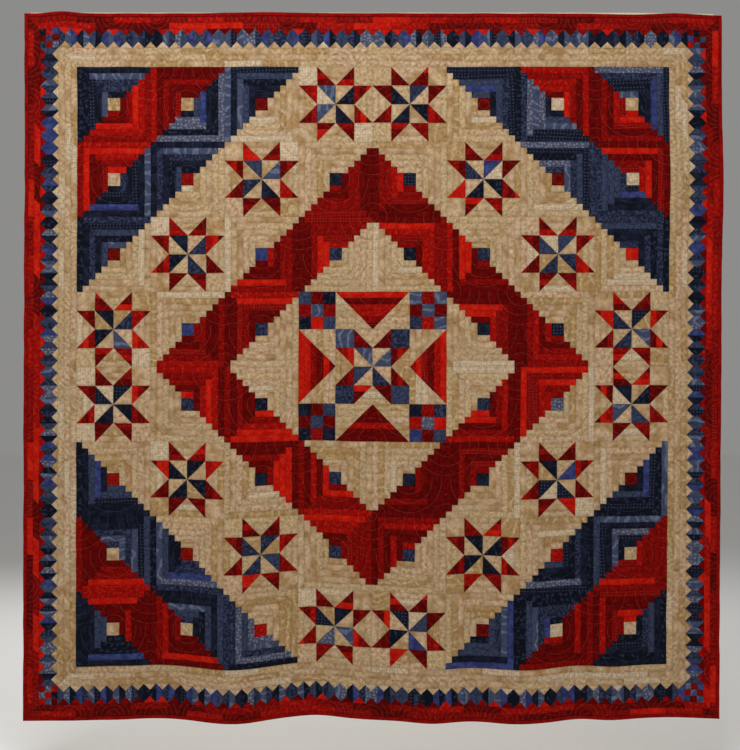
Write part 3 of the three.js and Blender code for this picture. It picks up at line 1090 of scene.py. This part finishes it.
def sleeve():
    """The hanging sleeve: a tube of cotton sewn along the top of the back."""
    along = np.linspace(-SLEEVE_LENGTH / 2, SLEEVE_LENGTH / 2, SLEEVE_STEPS + 1)
    outside = sleeve_rings(0, -SLEEVE_DROP, along, 1)
    inside = sleeve_rings(SLEEVE_WALL, SLEEVE_SEAM - SLEEVE_DROP, along, -1)
    points = np.concatenate([outside.reshape(-1, 3), inside.reshape(-1, 3)])
    number = np.arange(len(points)).reshape(2, *outside.shape[:-1])
    sides = np.concatenate([loft(number[0]), loft(number[1])[:, ::-1]])
    ends = np.concatenate([loft(number[:, 0])[:, ::-1], loft(number[:, -1])])
    both_along, girth = np.tile(along, 2), girths(outside[0])
    piece = closed_piece("sleeve_tube", points, sides, ends, both_along, girth, SLEEVE_MATERIAL)
    return settle(piece, "sleeve_cotton", "sleeve")


# Stitches

def stitch_mesh(name, starts, ends, outward, size, materials, slots=0):
    """Many stitches as one mesh: each rises from its ends to a ridge across its middle."""
    side = np.cross(outward, ends - starts)
    side *= size.width / 2 / np.linalg.norm(side, axis=1, keepdims=True)
    middle = (starts + ends) / 2 + outward * size.height
    sunk = outward * STITCH_SUNK
    points = np.stack([starts - sunk, ends - sunk, middle + side, middle - side], axis=1)
    shape = np.array([[0, 3, 2], [1, 2, 3], [0, 2, 1], [0, 1, 3]])
    number = np.arange(points.size // 3).reshape(points.shape[:-1])
    triangles = number[:, shape].reshape(-1, 3)
    slots = np.repeat(np.broadcast_to(slots, len(starts)), len(shape))
    cells = math.ceil(math.sqrt(len(starts)))
    cell = np.stack(np.divmod(np.arange(len(starts)), cells), -1)
    maps = {"OFBake": (cell[:, None] + STITCH_PICTURE)[:, shape] / cells}
    return make_piece(name, points.reshape(-1, 3), triangles, materials, slots, smooth=False, maps=maps)


def circle_stitches(centres, radius):
    """Stitches around circles, in patches: their middles, their directions and the circles' middles."""
    count = int(math.tau * radius * PATCH / STITCH.pitch)
    angle = math.tau * np.arange(count) / count
    x = (centres[:, :1] + radius * np.cos(angle)).ravel()
    y = (centres[:, 1:] + radius * np.sin(angle)).ravel()
    heading = np.tile(angle + math.pi / 2, len(centres))
    return x, y, heading, np.repeat(centres, count, axis=0)


def fan_centres():
    """Middles of the fans over the field."""
    reach = int(FIELD_HALF / FAN) + 1
    counts = range(-reach, reach + 1)
    places = [(FAN * (2 * column + row % 2), FAN * row) for row in counts for column in counts]
    return np.array([place for place in places if abs(place[0]) <= FIELD_HALF + FAN], float)


def edge_centres(half, period):
    """Middles of scallops along the four sides of a square."""
    along = np.arange(-half, half + period / 2, period)
    ends = np.full_like(along, half)
    sides = [(along, ends), (along, -ends), (ends, along), (-ends, along)]
    return np.unique(np.concatenate([np.stack(side, -1) for side in sides]), axis=0)


def quilting_places():
    """Middles and directions of all quilting stitches, in patches."""
    patterns = [
        (fan_centres(), FAN_SPACING, FAN),
        (edge_centres(HALF, RED_SCALLOP), SCALLOP_SPACING, RED_SCALLOP),
        (edge_centres(FIELD_HALF, CREAM_SCALLOP), SCALLOP_SPACING, CREAM_SCALLOP),
    ]
    found = []
    for centres, spacing, reach in patterns:
        for radius in np.arange(spacing / 2, reach, spacing):
            x, y, heading, middle = circle_stitches(centres, radius)
            *own_middle, own_spacing = quilting_centre(x, y)
            in_region = np.isclose(own_middle, middle.T).all(axis=0) & (own_spacing == spacing)
            on_quilt = np.maximum(np.abs(x), np.abs(y)) < HALF - STITCH_CLEAR
            found.append(np.stack([x, y, heading])[:, in_region & on_quilt])
    return np.concatenate(found, axis=1)


def sampled(values, x, y):
    """Values at mesh points, read between them at places in patches."""
    column, row = (x + HALF) * FINE, (y + HALF) * FINE
    left, top = (np.clip(place.astype(int), 0, PATCHES * FINE - 1) for place in (column, row))
    u, v = column - left, row - top
    upper = values[top, left] * (1 - u) + values[top, left + 1] * u
    lower = values[top + 1, left] * (1 - u) + values[top + 1, left + 1] * u
    return upper * (1 - v) + lower * v


def quilting_threads():
    """The quilting's stitches on the face and on the back."""
    x, y, heading = quilting_places()
    sway = STITCH_SWAY / PATCH * RANDOM.standard_normal((2, len(x))) / 2
    half = STITCH.length / 2 / PATCH
    way = np.stack([np.cos(heading), np.sin(heading)])
    tips = [np.stack([x, y]) + end * way + sway for end in (-half, half)]
    column, row = ((x + HALF) * FINE).astype(int), ((y + HALF) * FINE).astype(int)
    family = PATCH_FAMILY[UPPER[row, column]]
    layers = [
        ("quilting_face", FACE_OUT, FORWARD, THREAD_MATERIALS, family),
        ("quilting_back", BACK_OUT, -FORWARD, [BACK_THREAD_MATERIAL], 0),
    ]
    made = []
    for name, out, outward, materials, slots in layers:
        starts, ends = (hang(*flat_places(*tip), sampled(out, *tip)) for tip in tips)
        piece = stitch_mesh(name, starts, ends, outward, STITCH, materials, slots)
        made.append(settle(piece, "field_patchwork"))
    return made


def hand_stitches(name, slot, length, second, place):
    """A row of slanting hand stitches. place turns places along and across the row into points."""
    along = np.arange(-length / 2, length / 2, HAND_STITCH.pitch)
    along = along + RANDOM.uniform(-HAND_SWAY, HAND_SWAY, len(along)) * HAND_STITCH.pitch
    half = HAND_STITCH.length / 2
    slant = RANDOM.uniform(*HAND_SLANT, len(along)) * half
    starts = place(along - half / 2, second - slant)
    ends = place(along + half / 2, second + slant)
    return settle(stitch_mesh(name, starts, ends, -FORWARD, HAND_STITCH, [SEWING_MATERIAL]), slot)


# The whole quilt

def build_rows():
    """The field, sewn in rows of blocks."""
    rows = []
    for number in range(BLOCKS):
        start = BORDER_PATCHES + number * BLOCK_PATCHES
        columns = (BORDER_PATCHES, BORDER_PATCHES + FIELD_PATCHES)
        row = panel(f"field_row_{number + 1}", columns, (start, start + BLOCK_PATCHES))
        rows.append(settle(row, "field_patchwork", "field"))
    return rows


def build_borders():
    """The four borders: top and bottom across the whole quilt, the sides between them."""
    whole, inner = (0, PATCHES), (BORDER_PATCHES, PATCHES - BORDER_PATCHES)
    first, last = (0, BORDER_PATCHES), (PATCHES - BORDER_PATCHES, PATCHES)
    ranges = {
        "top": (whole, first),
        "bottom": (whole, last),
        "left": (first, inner),
        "right": (last, inner),
    }
    borders = {}
    for edge, (columns, rows) in ranges.items():
        node = "border_" + edge
        borders[edge] = settle(panel(node + "_strip", columns, rows), "border_patchwork", node)
    return borders


def build_bindings():
    """The binding strips, and the hand stitches that hold them to the back."""
    strips, sewing = {}, {}
    for edge, flat in EDGE_FLATS.items():
        strips[edge] = binding("binding_" + edge, flat)

        def on_back(along, inset, flat=flat):
            return hang(*flat(along, inset), -HALF_THICKNESS)

        sewing[edge] = hand_stitches("binding_sewing_" + edge, "binding_cotton", INNER, BINDING, on_back)
    return strips, sewing


def sleeve_sewing():
    """The hand stitches along the sleeve's lower edge."""
    def on_foot(along, height):
        return np.stack([along, np.full_like(along, SLEEVE_FOOT), height], -1)

    height = HAND_STITCH.length - SLEEVE_DROP
    return hand_stitches("sleeve_sewing", "sleeve_cotton", SLEEVE_LENGTH - SLEEVE_HEM, height, on_foot)


# Camera, floor and light

def add_camera():
    data = bpy.data.cameras.new("camera")
    data.sensor_width = SENSOR
    data.lens = SENSOR / 2 * -CAMERA_PLACE[1] / VIEW_HALF_HEIGHT
    camera = link("camera", data)
    camera.location = CAMERA_PLACE
    camera.rotation_euler = (math.pi / 2, 0, 0)
    bpy.context.scene.camera = camera


def add_floor():
    level = CAD_BOX[0].z - FLOOR_BELOW
    half = FLOOR_SIZE / 2
    corners = [(-half, -half), (half, -half), (half, half), (-half, half)]
    points = np.array([(x, y, level) for x, y in corners])
    nodes = Nodes("floor")
    nodes.fill(nodes.shader, {"Base Color": linear(FLOOR_COLOUR), "Roughness": FLOOR_ROUGHNESS})
    make_piece("floor", points, np.array([[0, 1, 2], [0, 2, 3]]), [nodes.material])


def add_lights():
    for row in LIGHTS:
        data = bpy.data.lights.new(row.name, "AREA")
        data.shape = "RECTANGLE"
        data.size, data.size_y = row.size
        data.energy = row.power
        light = link(row.name, data)
        light.location = row.place
        aim = Vector(row.target) - Vector(row.place)
        light.rotation_euler = aim.to_track_quat("-Z", "Y").to_euler()
        light.visible_camera = False


def add_world():
    world = bpy.data.worlds.new("studio")
    world.use_nodes = True
    background = world.node_tree.nodes["Background"]
    background.inputs["Color"].default_value = linear(WORLD_COLOUR)
    background.inputs["Strength"].default_value = WORLD_STRENGTH
    bpy.context.scene.world = world
    bpy.context.scene.view_settings.view_transform = "Standard"


add_camera()
add_world()
add_lights()
add_floor()
field_rows = build_rows()
border_strips = build_borders()
binding_strips, binding_sewing = build_bindings()
sleeve_tube = sleeve()
quilting_threads()
sleeve_sewing()
